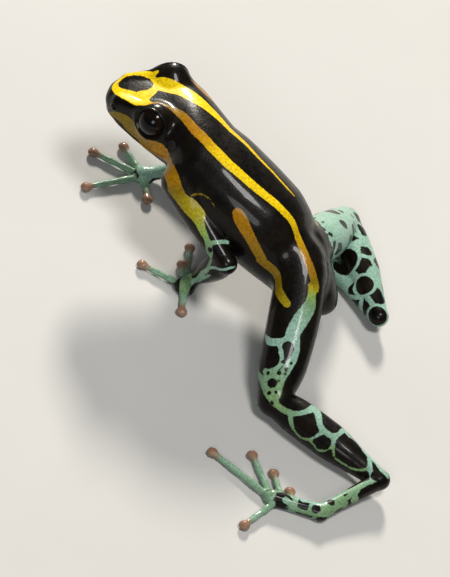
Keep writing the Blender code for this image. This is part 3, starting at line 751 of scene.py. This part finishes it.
# Lines on the limbs, as seen in the photo: pixel, half width in millimetres, tint.
LIMB_LINES = {
    # The arm root's dark olive start is partly painted shade, lightening towards the limb's own pale
    # green.
    "arm_root": (
        (172, 190, 0.30, 0.36), (181, 199, 0.34, 0.42), (190, 207, 0.44, 0.46), (197, 214, 0.42, 0.50),
        (199, 221, 0.28, 0.58), (203, 232, 0.19, 0.70), (206, 238, 0.16, 0.78), (208, 244, 0.15, 0.85),
    ),
    # Its amber-olive tint, like the flank line's, is partly painted shade of the lower flank.
    "flank_end": (
        (261, 260, 0.27, 0.32), (268, 266, 0.26, 0.33), (276, 274, 0.26, 0.34), (278, 284, 0.26, 0.35),
        (279, 292, 0.25, 0.38), (287, 304, 0.20, 0.45),
    ),
    "thigh_top": (
        (311, 286, 0.18, 0.45), (312, 296, 0.24, 0.70), (309, 308, 0.37, 0.90), (300, 321, 0.42, 0.97),
        (293, 333, 0.37, 1.0), (291, 338, 0.32, 1.0),
    ),
    "thigh_front": (
        (289, 339, 0.21, 1.0), (280, 342, 0.21, 1.0), (271, 342, 0.21, 1.0), (265, 334, 0.05, 1.0),
    ),
    "thigh_middle": (
        (281, 343, 0.16, 1.0), (281, 352, 0.13, 1.0), (280, 362, 0.16, 0.95), (272, 372, 0.16, 0.92),
        (264, 371, 0.11, 0.92),
    ),
    "thigh_rear": (
        (296, 339, 0.21, 1.0), (297, 350, 0.16, 1.0), (293, 360, 0.21, 1.0), (286, 370, 0.26, 0.93),
        (280, 380, 0.26, 0.90), (277, 392, 0.26, 0.86), (274, 401, 0.18, 0.84),
    ),
    "over_knee": ((271, 365, 0.30, 0.92), (270, 377, 0.40, 0.90), (271, 392, 0.36, 0.87)),
    "knee_front": (
        (259, 361, 0.08, 0.95), (258, 370, 0.13, 0.95), (262, 381, 0.21, 0.92), (268, 391, 0.26, 0.88),
        (272, 400, 0.18, 0.84),
    ),
    "shank": (
        (273, 402, 0.16, 0.84), (282, 409, 0.16, 0.86), (291, 413, 0.16, 0.90), (301, 413, 0.13, 0.95),
        (310, 410, 0.19, 1.0), (315, 408, 0.26, 1.0), (318, 414, 0.21, 1.0), (320, 424, 0.16, 1.0),
        (324, 431, 0.16, 0.97), (332, 436, 0.16, 0.97), (339, 434, 0.13, 0.97), (344, 430, 0.16, 1.0),
        (350, 437, 0.13, 1.0), (358, 445, 0.13, 1.0), (366, 453, 0.17, 1.0), (375, 462, 0.16, 1.0),
        (383, 471, 0.16, 1.0), (388, 477, 0.11, 1.0),
    ),
    "shank_branch_1": ((290, 415, 0.11, 0.9), (291, 422, 0.13, 0.9), (293, 429, 0.05, 0.9)),
    "shank_branch_2": ((322, 432, 0.11, 0.97), (318, 435, 0.08, 0.97), (310, 440, 0.04, 0.97)),
    "shank_branch_3": ((335, 436, 0.13, 0.97), (334, 440, 0.13, 0.97), (333, 446, 0.05, 0.97)),
    "heel": ((368, 455, 0.13, 1.0), (370, 466, 0.13, 1.0), (372, 482, 0.06, 1.0)),
    "tarsus_upper": (
        (376, 480, 0.08, 0.95), (364, 484, 0.16, 0.92), (352, 490, 0.19, 0.90), (340, 493, 0.16, 0.94),
        (329, 499, 0.16, 1.0), (313, 502, 0.15, 1.0), (303, 500, 0.17, 1.0),
    ),
    "tarsus_lower": (
        (358, 491, 0.11, 0.90), (345, 499, 0.13, 0.88), (332, 507, 0.16, 0.88), (320, 514, 0.16, 0.88),
        (300, 511, 0.14, 0.90), (286, 500, 0.18, 0.97),
    ),
    "elbow_branch": ((210, 243, 0.12, 0.88), (220, 242, 0.11, 0.97), (227, 242, 0.13, 1.0)),
    "forearm": (
        (208, 244, 0.14, 0.85), (207, 251, 0.10, 0.88), (210, 262, 0.10, 0.90), (208, 268, 0.13, 0.92),
        (202, 273, 0.11, 0.95), (197, 280, 0.13, 0.97), (190, 283, 0.16, 1.0),
    ),
    "forearm_inner": ((210, 244, 0.12, 0.88), (211, 255, 0.10, 0.90), (210, 262, 0.10, 0.90)),
    "elbow_thread": (
        (210, 268, 0.08, 0.97), (216, 268, 0.08, 1.0), (222, 270, 0.08, 1.0), (230, 268, 0.07, 1.0),
        (236, 266, 0.05, 1.0),
    ),
    "forearm_lower": ((210, 275, 0.06, 0.95), (203, 278, 0.11, 0.95), (197, 281, 0.13, 0.97)),
    "shank_ring_1": ((293, 429, 0.08, 0.84), (300, 437, 0.07, 0.84), (310, 440, 0.08, 0.84)),
    "shank_ring_2": ((310, 440, 0.08, 0.84), (318, 450, 0.07, 0.84), (332, 447, 0.08, 0.84)),
    "shank_ring_3": (
        (333, 446, 0.08, 0.84), (336, 459, 0.07, 0.84), (348, 467, 0.07, 0.84), (359, 470, 0.07, 0.84),
        (368, 469, 0.08, 0.88),
    ),
    "shoulder_hook": (
        (193, 195, 0.07, 0.36), (200, 194, 0.05, 0.37), (207, 197, 0.04, 0.38), (212, 202, 0.04, 0.39),
        (215, 209, 0.02, 0.40),
    ),
}

# Black spots, given in the same way: pixel and radius in millimetres.
SPOTS = {
    "left_thigh": (
        (288, 347, 0.32), (270, 359, 0.53), (272, 383, 0.26), (279, 373, 0.13), (284, 362, 0.13),
        (268, 373, 0.11), (286, 369, 0.11), (285, 374, 0.09), (291, 363, 0.10), (279, 381, 0.08),
        (269, 393, 0.11), (276, 392, 0.10), (272, 403, 0.12),
    ),
    "left_shank": ((306, 427, 0.58), (324, 443, 0.37), (349, 449, 0.74), (376, 476, 0.30)),
    "left_tarsus": ((316, 509, 0.24), (331, 502, 0.22)),
    "right_leg": ((346, 262, 0.74), (364, 285, 0.53), (377, 316, 0.58), (324, 229, 0.16)),
    "left_elbow": ((210, 250, 0.16),),
}

# A line's steps, a degree's length among them, how lines run together and how far each is looked
# at, how much the right body lines fade on a limb and where a limb begins.
LINE_STEP = 0.07
DEGREE_LENGTH = 0.04
LINE_BLEND = 0.10
LINE_MARGIN = 0.9
OFF_LIMBS = 2.0
ON_LIMB_FROM = (0.15, 0.55)
SPOT_BLEND = 0.08

# A look at the skin has so many steps. It starts over the whole animal, or out from the body by
# these shares of its size, or over the head at these heights, and ends within.
LOOKS = 80
ABOVE_ALL = 9.5
BODY_LOOK = (1.45, 0.7)
HEAD_LOOK = (2.4, 0.2)
PRESSES = 6
BATCH = 4000

# The pale line down a digit starts over its axis, and its half width and tint change on the way.
DIGIT_OVER = (0.0, 0.0, 0.10)
AT_KNUCKLE = (0.17, 0.92)
AT_DISC = (0.36, 0.96)


def first_on_skin(outside, within):
    """The first place on the skin going straight from outside to within, or else the nearest."""
    share = np.linspace(0.0, 1.0, LOOKS)[:, None, None]
    looks = outside + (within - outside) * share
    values = flesh_distance(looks.reshape(-1, 3)).reshape(looks.shape[:2])
    met = (values < 0).any(axis=0)
    sunk = np.clip(np.where(met, np.argmax(values < 0, axis=0), np.argmin(values, axis=0)), 1, None)
    each = np.arange(values.shape[1])
    a, b = values[sunk - 1, each], values[sunk, each]
    t = np.clip(a / np.maximum(a - b, 1e-9), 0.0, 1.0)[:, None]
    return looks[sunk - 1, each] * (1 - t) + looks[sunk, each] * t


def body_line(stations, side):
    """A line given by angles: at each, sin and cos to the power 2/p times width and height."""
    forward, degrees, half, tint = smooth_path(stations).T
    width, top, bottom, widest, p = section_at(forward)
    angle = np.radians(degrees)
    across = np.abs(np.sin(angle)) ** (2 / p) * width * side * np.sign(degrees)
    height = np.where(np.abs(degrees) < 90, top - widest, widest - bottom)
    upward = np.sign(np.cos(angle)) * np.abs(np.cos(angle)) ** (2 / p) * height
    ends = [posed(forward, across * share, widest + upward * share) for share in BODY_LOOK]
    return np.column_stack([first_on_skin(*ends), half, tint])


def head_line(stations):
    """A line given as seen from above the head, laid down on it."""
    forward, left, half, tint = smooth_path(stations).T
    places = first_on_skin(*[posed(forward, left, up) for up in HEAD_LOOK])
    return np.column_stack([places, half, tint])


def limb_line(stations):
    """A line given by places in the pose, pressed to the skin."""
    path = smooth_path(stations, 3)
    return np.column_stack([pressed_to_flesh(path[:, :3], PRESSES), path[:, 3:]])


def seen_on_skin(pixels):
    """Where pixels of the photo fall: the ray from the eye through each, down to the floor.

    A ray is the eye's place + t (the pixel's place on the plane through the aim - the eye's).
    """
    across = (pixels[:, :1] - PICTURE[0] / 2) / PIXELS_PER_MM
    down = (pixels[:, 1:2] - PICTURE[1] / 2) / PIXELS_PER_MM
    ray = aim + across * right - down * over - eye_place
    outside = eye_place + ray * (ABOVE_ALL - eye_place[2]) / ray[:, 2:]
    within = eye_place - ray * eye_place[2] / ray[:, 2:]
    return first_on_skin(outside, within)


def seen_line(stations):
    """A line given by pixels of the photo."""
    stations = np.array(stations)
    return limb_line(np.column_stack([seen_on_skin(stations[:, :2]), stations[:, 2:]]))


def smooth_path(stations, places=2):
    """A smooth curve through the stations, all their numbers read at even steps along it."""
    stations = np.array(stations, float)
    steps = np.diff(stations[:, :places] * ((1.0, DEGREE_LENGTH) if places == 2 else 1.0), axis=0)
    along = np.concatenate([[0.0], np.cumsum(np.linalg.norm(steps, axis=1))])
    where = np.linspace(0.0, along[-1], int(along[-1] / LINE_STEP) + 2)
    return np.column_stack([smooth_value(along, column, where) for column in stations.T])


def inside_line(points, line):
    """How far points lie inside a line: the greatest, over its lengths, of half width less
    distance, and the tint there."""
    start, end = line[:-1], line[1:]
    axis = end[:, :3] - start[:, :3]
    square = np.maximum(np.sum(axis * axis, axis=1), 1e-12)
    depth = np.empty(len(points))
    tint = np.empty(len(points))
    for first in range(0, len(points), BATCH):
        some = points[first:first + BATCH]
        offset = some[:, None] - start[None, :, :3]
        t = np.clip(np.sum(offset * axis, axis=2) / square, 0.0, 1.0)
        away = np.linalg.norm(offset - t[..., None] * axis, axis=2)
        within = start[:, 3] + t * (end[:, 3] - start[:, 3]) - away
        best = np.argmax(within, axis=1)
        each = np.arange(len(some))
        depth[first:first + BATCH] = within[each, best]
        tint[first:first + BATCH] = start[best, 4] + t[each, best] * (end[best, 4] - start[best, 4])
    return depth, tint


head_lines = [head_line(line) for line in (SNOUT_LEFT_LINE, SNOUT_RIGHT_LINE, BETWEEN_EYES_LINE)]
left_lines = [body_line(line, 1.0) for line in (MIDDLE_LINE, BACK_LINE, FLANK_LINE, LIP_LINE)]
right_lines = [body_line(line, -1.0) for line in (RIGHT_BACK_LINE, FLANK_LINE, RIGHT_LIP_LINE)]
limb_lines = [limb_line(line) for line in (LEFT_PALM_LINE, RIGHT_WRIST_LINE)]
limb_lines += [seen_line(line) for line in LIMB_LINES.values()]
for base, end in digit_lines:
    limb_lines.append(np.array(((*(base + DIGIT_OVER), *AT_KNUCKLE), (*end, *AT_DISC))))

points = places_of(mesh)
normals = read_out(mesh.vertices, "normal", 3)
depth = np.full(len(points), -1.0)
tint = np.ones(len(points))
on_limb = smoothstep(*ON_LIMB_FROM, body_distance(points))
for line in head_lines + left_lines + right_lines + limb_lines:
    near = np.all(
        (points > line[:, :3].min(axis=0) - LINE_MARGIN)
        & (points < line[:, :3].max(axis=0) + LINE_MARGIN), axis=1
    )
    found, found_tint = inside_line(points[near], line)
    if any(line is right_line for right_line in right_lines):
        found = found - OFF_LIMBS * on_limb[near]
    before = depth[near]
    tint[near] = np.where(found > before, found_tint, tint[near])
    depth[near] = -soft_union(-before, -found, LINE_BLEND)

forward, left, up = body_place(points).T
forward, left = forward - OVAL_MIDDLE[0], left - OVAL_MIDDLE[1]
ahead = forward * math.cos(OVAL_TURN) + left * math.sin(OVAL_TURN)
aside = left * math.cos(OVAL_TURN) - forward * math.sin(OVAL_TURN)
oval_out = (np.hypot(ahead / OVAL_LONG, aside / OVAL_WIDE) - 1.0) * OVAL_WIDE
depth = np.where(up > OVAL_ABOVE, soft_union(depth, oval_out, SPOT_BLEND), depth)

spot = np.ones(len(points))
for spots in SPOTS.values():
    for centre, radius in zip(seen_on_skin(np.array(spots)), np.array(spots)[:, 2]):
        spot = soft_union(spot, np.linalg.norm(points - centre, axis=1) - radius, SPOT_BLEND)

# The free net covers the limbs, but not where the left limbs' own lines face outwards, and a disc
# is warm up to so far from its middle.
OUTWARD = np.array((0.70, 0.21, 0.68))
OUTWARD_FROM = (-0.35, 0.10)
OWN_LINES_REACH = 1.9
WARM_FROM_DISC = (0.75, 0.15)
netted = on_limb.copy()
own_lines = np.zeros(len(points), bool)
for limbs, start, end in (
    (LEFT_ARM, "shoulder", "elbow"),
    (LEFT_ARM, "elbow", "wrist"),
    (LEFT_LEG, "hip", "knee"),
    (LEFT_LEG, "knee", "heel"),
):
    own_lines |= rod_distance(points, np.array(limbs[start]), np.array(limbs[end]), OWN_LINES_REACH) < 0
netted *= 1.0 - own_lines * smoothstep(*OUTWARD_FROM, normals @ OUTWARD)
warm = np.zeros(len(points))
for base, end in digit_lines:
    warm = np.maximum(warm, smoothstep(*WARM_FROM_DISC, np.linalg.norm(points - end, axis=1)))


def keep(mesh, name, values):
    """Keeps a number at each of the mesh's points."""
    mesh.attributes.new(name, "FLOAT", "POINT").data.foreach_set("value", values.astype(np.float32))


for name, values in (("line", depth), ("tint", tint), ("spot", spot), ("netted", netted), ("warm", warm)):
    keep(mesh, name, np.clip(values, -1.0, 1.0))


# The skin's finish.
# Wet, finely granular skin: near black with a brown cast, glossy under a clear wet film. Its
# marks go from vivid yellow through amber, olive and leaf green to pale turquoise on the limbs,
# and the discs of the digits are a warm pink. The darker amber and olive on the flanks, lips and
# arm roots are partly painted shade, as those sides turn from the light.

BLACK = (0.0022, 0.0018, 0.0014)
BROWN_BLACK = (0.0070, 0.0046, 0.0022)
DISC_PINK = (0.24, 0.12, 0.075)
# The amber (0.20) and olive (0.36) stops are kept dark: on the flank, lip and arm-root lines they are
# partly painted shade of the lower sides that turn from the light.
MARK_COLOURS_AND_SHADE = (
    (0.00, (0.90, 0.64, 0.006)),
    (0.20, (0.40, 0.18, 0.003)),
    (0.36, (0.22, 0.145, 0.004)),
    (0.50, (0.40, 0.34, 0.012)),
    (0.70, (0.25, 0.38, 0.075)),
    (0.88, (0.18, 0.32, 0.16)),
    (1.00, (0.27, 0.46, 0.36)),
)
GRAIN_COLOUR = (0.62, 0.56, 0.55)

# The free net, in millimetres: its cells, and how far and over what length noise stirs them. Then,
# as shares of a cell, half a strand, the black spot in the middle, and how much the body takes off.
NET_CELL = 1.15
NET_STIR = 0.5
NET_STIR_LENGTH = 1.25
NET_STRAND = 0.12
NET_SPOT = 0.48
NET_OFF_BODY = 1.6

# The ring round a black spot, how ragged a mark's edge is, and the depths where it fades in.
SPOT_RING = 0.17
MARK_RAGGED = 0.09
MARK_EDGE = (0.025, 0.070)

# The grain: a grain's width, its height and the lumps' beside it, the height that they stand for,
# and how rough the broken film is. The clear film over all of it has its own index of refraction.
GRAIN = 0.10
GRAIN_TOP = 0.8
LUMPS_TOP = 0.7
BUMP_HEIGHT = 0.014
FILM_ROUGH = (0.26, 0.46)
FILM_IOR = 1.36


def finish_group(name, inputs, outputs):
    """An empty group of nodes with named inputs and outputs of the given kinds."""
    group = bpy.data.node_groups.new(name, "ShaderNodeTree")
    for way, sockets in (("INPUT", inputs), ("OUTPUT", outputs)):
        for socket, kind in sockets.items():
            group.interface.new_socket(socket, in_out=way, socket_type="NodeSocket" + kind)
    return group, group.nodes.new("NodeGroupInput"), group.nodes.new("NodeGroupOutput")


def feed(tree, node, inputs):
    """Gives each named input of a node its socket or its plain value."""
    for name, value in inputs.items():
        if isinstance(value, bpy.types.NodeSocket):
            tree.links.new(value, node.inputs[name])
        else:
            node.inputs[name].default_value = value


def made(tree, kind, inputs, output=0, **settings):
    """A new node with its settings and inputs, by the one output that is used."""
    node = tree.nodes.new("ShaderNode" + kind)
    for name, value in settings.items():
        setattr(node, name, value)
    feed(tree, node, inputs)
    return node.outputs[output]


def sum_node(tree, operation, *values):
    """A Math node fed with sockets or plain numbers."""
    return made(tree, "Math", dict(enumerate(values)), operation=operation)


def noise_node(tree, place, per_mm, detail=3.0, rough=0.55):
    """Noise with so many lumps a millimetre."""
    inputs = {"Vector": place, "Scale": per_mm / MM, "Detail": detail, "Roughness": rough}
    return made(tree, "TexNoise", inputs, "Fac")


def range_node(tree, value, low, high, to_low=0.0, to_high=1.0, way="LINEAR"):
    """Carries a value from one range to another, held at its ends."""
    inputs = dict(enumerate((value, low, high, to_low, to_high)))
    return made(tree, "MapRange", inputs, interpolation_type=way)


def kept_value(tree, name):
    """A number kept at the mesh's points."""
    return made(tree, "Attribute", {}, "Fac", attribute_name=name)


def mix_node(tree, share, first, second, blend="MIX"):
    """A colour between two, each a socket or plain."""
    first, second = ((*side, 1.0) if isinstance(side, tuple) else side for side in (first, second))
    inputs = {0: share, 6: first, 7: second}
    return made(tree, "Mix", inputs, 2, data_type="RGBA", blend_type=blend)


def new_look(name):
    """A material: itself, its tree, its shader and the places on its piece."""
    look = bpy.data.materials.new(name)
    look.use_nodes = True
    tree = look.node_tree
    return look, tree, tree.nodes["Principled BSDF"], made(tree, "TexCoord", {}, "Object")


# The wet grain, for skin: a height of fine rounded grains, and how the wet film is broken.
grain, entering, leaving = finish_group(
    "wet_grain", {"Place": "Vector"}, {"Height": "Float", "Roughness": "Float", "Mottle": "Float"}
)
place = entering.outputs["Place"]
inputs = {"Vector": place, "Scale": 1 / (GRAIN * MM), "Smoothness": 0.6}
cells = made(grain, "TexVoronoi", inputs, "Distance", feature="SMOOTH_F1")
rounded = sum_node(grain, "SUBTRACT", GRAIN_TOP, cells)
lumps = noise_node(grain, place, 2.2, 2.0)
feed(grain, leaving, {
    "Height": sum_node(grain, "MULTIPLY_ADD", lumps, LUMPS_TOP, rounded),
    "Mottle": noise_node(grain, place, 1.1, 4.0),
    "Roughness": range_node(grain, noise_node(grain, place, 3.5), 0.3, 0.7, *FILM_ROUGH),
})

skin_look, tree, shader, place = new_look("black_skin")
wet = tree.nodes.new("ShaderNodeGroup")
wet.node_tree = grain
tree.links.new(place, wet.inputs["Place"])

# The free net: rounded cells of unequal size, their places stirred a little by noise.
stir = made(tree, "TexNoise", {"Vector": place, "Scale": 1 / (NET_STIR_LENGTH * MM)}, "Color")
inputs = {0: stir, 1: (NET_STIR * MM,) * 3, 2: place}
stirred = made(tree, "VectorMath", inputs, operation="MULTIPLY_ADD")
inputs = {"Vector": stirred, "Scale": 1 / (NET_CELL * MM)}
to_middle = made(tree, "TexVoronoi", inputs, "Distance")
to_edge = made(tree, "TexVoronoi", inputs, "Distance", feature="DISTANCE_TO_EDGE")
strands = sum_node(tree, "SUBTRACT", NET_STRAND, to_edge)
round_spots = sum_node(tree, "SUBTRACT", to_middle, NET_SPOT)
free_net = sum_node(tree, "MAXIMUM", strands, round_spots)
spot_out = kept_value(tree, "spot")
free_net = sum_node(tree, "MAXIMUM", free_net, sum_node(tree, "SUBTRACT", SPOT_RING, spot_out))
bare = sum_node(tree, "SUBTRACT", kept_value(tree, "netted"), 1.0)
free_net = sum_node(tree, "MULTIPLY_ADD", bare, NET_OFF_BODY, free_net)
marked = sum_node(tree, "MAXIMUM", kept_value(tree, "line"), free_net)
marked = sum_node(tree, "MINIMUM", marked, spot_out)
ragged = noise_node(tree, place, 6.0, 2.0)
marked = sum_node(tree, "MULTIPLY_ADD", ragged, MARK_RAGGED, marked)
mask = range_node(tree, marked, *MARK_EDGE, way="SMOOTHSTEP")

# The tint picks each mark's colour from the stops; the darker amber and olive among them are partly
# painted shade.
ramp = tree.nodes.new("ShaderNodeValToRGB")
tree.links.new(kept_value(tree, "tint"), ramp.inputs["Fac"])
stops = ramp.color_ramp.elements
while len(stops) < len(MARK_COLOURS_AND_SHADE):
    stops.new(0.5)
for stop, (position, colour) in zip(stops, MARK_COLOURS_AND_SHADE):
    stop.position = position
    stop.color = (*colour, 1.0)
grainy = range_node(tree, noise_node(tree, place, 9.0, 2.0), 0.35, 0.7)
painted = mix_node(tree, grainy, ramp.outputs["Color"], GRAIN_COLOUR, "MULTIPLY")
painted = mix_node(tree, kept_value(tree, "warm"), painted, DISC_PINK)
dark = mix_node(tree, range_node(tree, wet.outputs["Mottle"], 0.40, 0.65), BLACK, BROWN_BLACK)
inputs = {"Strength": 0.55, "Distance": BUMP_HEIGHT * MM, "Height": wet.outputs["Height"]}
feed(tree, shader, {
    "Base Color": mix_node(tree, mask, dark, painted),
    "Roughness": wet.outputs["Roughness"],
    "Normal": made(tree, "Bump", inputs, "Normal"),
    "Specular IOR Level": 0.08,
    "Coat Weight": 0.30,
    "Coat Roughness": 0.07,
    "Coat IOR": FILM_IOR,
})
skin.data.materials.append(skin_look)


# The eyes.
# Each is a glossy ball behind the lids, with a low clear bulge in front, a black pupil and a
# very dark bronze iris. It fills the lids' opening and touches their edge.

EYE_BULGE = 0.06
BULGE_WIDTH = 0.62
PUPIL_EDGE = 0.52
IRIS_EDGE = 1.02
EYE_ROWS = 56
EYE_SIDES = 80
PUPIL_BLACK = (0.0025, 0.0022, 0.0025)
IRIS_DARK = (0.003, 0.002, 0.0015)
IRIS_BRONZE = (0.011, 0.005, 0.002)
ROUND_IRIS = (0.004, 0.0035, 0.003)


def eyeball(side):
    """Points and faces of a ball round the eye's line of sight.

    At each angle from that line the radius is R (1 + b e^-(angle / w)^2). Rows of points run
    from the front pole to the back one.
    """
    centre = posed(EYE_FORWARD, side * EYE_OUT, EYE_UP)
    look = HEAD_TURNED @ (EYE_LOOK * (1.0, side, 1.0))
    across = np.cross(look, (0.0, 0.0, 1.0))
    across /= np.linalg.norm(across)
    over = np.cross(across, look)
    angle = np.linspace(0.0, math.pi, EYE_ROWS + 1)
    radius = EYE_RADIUS * (1 + EYE_BULGE * ridge(angle, BULGE_WIDTH))
    turn = np.linspace(0.0, 2 * math.pi, EYE_SIDES, endpoint=False)
    circle = np.cos(turn)[:, None] * across + np.sin(turn)[:, None] * over
    rows = (
        (radius * np.sin(angle))[1:-1, None, None] * circle
        + (radius * np.cos(angle))[1:-1, None, None] * look
    )
    front = look * radius[0]
    back = -look * radius[-1]
    points = centre + np.concatenate([rows.reshape(-1, 3), [front], [back]])
    from_pupil = np.concatenate([np.repeat(angle[1:-1], EYE_SIDES), [0.0, math.pi]])
    corner = np.arange(rows.shape[0] * EYE_SIDES).reshape(-1, EYE_SIDES)
    beside = np.roll(corner, -1, axis=1)
    sheets = np.stack([corner[:-1], corner[1:], beside[1:], beside[:-1]], axis=-1).reshape(-1, 4)
    last = len(points) - 1
    front_fan = np.stack([np.full(EYE_SIDES, last - 1), corner[0], beside[0]], axis=-1)
    back_fan = np.stack([np.full(EYE_SIDES, last), beside[-1], corner[-1]], axis=-1)
    return points, sheets.tolist() + front_fan.tolist() + back_fan.tolist(), from_pupil


eye_look, tree, shader, place = new_look("wet_eye")
angle = kept_value(tree, "from_pupil")
specks = range_node(tree, noise_node(tree, place, 12.0, 4.0), 0.35, 0.65)
in_iris = range_node(tree, angle, PUPIL_EDGE, PUPIL_EDGE + 0.05)
past_iris = range_node(tree, angle, IRIS_EDGE - 0.10, IRIS_EDGE)
coloured = mix_node(tree, in_iris, PUPIL_BLACK, mix_node(tree, specks, IRIS_DARK, IRIS_BRONZE))
feed(tree, shader, {
    "Base Color": mix_node(tree, past_iris, coloured, ROUND_IRIS),
    "Roughness": range_node(tree, noise_node(tree, place, 2.0), 0.3, 0.7, 0.03, 0.08),
    "Specular IOR Level": 0.05,
    "Coat Weight": 0.4,
    "Coat Roughness": 0.02,
    "Coat IOR": FILM_IOR,
})

for name, side in (("eye_left", 1.0), ("eye_right", -1.0)):
    eye_points, eye_faces, from_pupil = eyeball(side)
    eye_mesh = mesh_of(name + "_ball", eye_points, eye_faces)
    keep(eye_mesh, "from_pupil", from_pupil)
    eye_mesh.shade_smooth()
    eye_mesh.materials.append(eye_look)
    eye = placed(name + "_ball", eye_mesh)
    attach(eye, "root")
    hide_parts(name)


# The floor, the lights and the camera of a plain studio.
# The floor is pale and matt. The camera stands at the animal's left, a little behind it, looks
# down at it and is turned about its own line of sight, as the animal stood on a slope.

camera = bpy.data.cameras.new("camera")
camera.sensor_width = 36.0
camera.lens = camera.sensor_width * CAMERA_AWAY / (PICTURE[1] / PIXELS_PER_MM * MM)
camera.clip_start = 0.01
camera.clip_end = 5.0
viewer = placed("camera", camera)
sides = np.column_stack([right, over, backwards, (eye_place - BOX_MIDDLE) * MM])
viewer.matrix_world = Matrix((*sides.tolist(), (0.0, 0.0, 0.0, 1.0)))
bpy.context.scene.camera = viewer

FLOOR_HALF = 600.0
FLOOR_DARK = (0.46, 0.45, 0.43)
FLOOR_LIGHT = (0.51, 0.50, 0.48)
corners = BOX_MIDDLE + FLOOR_HALF * np.array(((-1, -1, 0), (1, -1, 0), (1, 1, 0), (-1, 1, 0)))
floor_mesh = mesh_of("floor", corners, [(0, 1, 2, 3)])
placed("floor", floor_mesh)

floor_look, tree, shader, place = new_look("pale_floor")
cloudy = noise_node(tree, place, 0.05, 4.0)
feed(tree, shader, {
    "Base Color": mix_node(tree, range_node(tree, cloudy, 0.3, 0.7), FLOOR_DARK, FLOOR_LIGHT),
    "Roughness": range_node(tree, cloudy, 0.3, 0.7, 0.72, 0.85),
})
floor_mesh.materials.append(floor_look)

# Each lamp: where it stands in metres, its size, its power and its colour.
LAMPS = {
    "key": ((-0.26, -0.16, 0.15), 0.05, 1.7, (1.0, 0.95, 0.86)),
    "soft": ((0.06, 0.10, 0.42), 0.12, 1.3, (1.0, 0.99, 0.97)),
    "side": ((0.32, 0.10, 0.24), 0.16, 0.50, (0.94, 0.97, 1.0)),
}
LAMPS_AIM = Vector((0, 0, 0.004))
for name, (stand, size, power, colour) in LAMPS.items():
    lamp_data = bpy.data.lights.new(name, "AREA")
    lamp_data.shape = "DISK"
    lamp_data.size = size
    lamp_data.energy = power
    lamp_data.color = colour
    lamp = placed(name, lamp_data)
    lamp.location = stand
    lamp.rotation_euler = (Vector(stand) - LAMPS_AIM).to_track_quat("Z", "Y").to_euler()
world = bpy.data.worlds.new("studio")
world.use_nodes = True
sky = {"Color": (0.95, 0.97, 1.0, 1.0), "Strength": 0.11}
feed(world.node_tree, world.node_tree.nodes["Background"], sky)
bpy.context.scene.world = world
bpy.context.scene.view_settings.view_transform = "Standard"
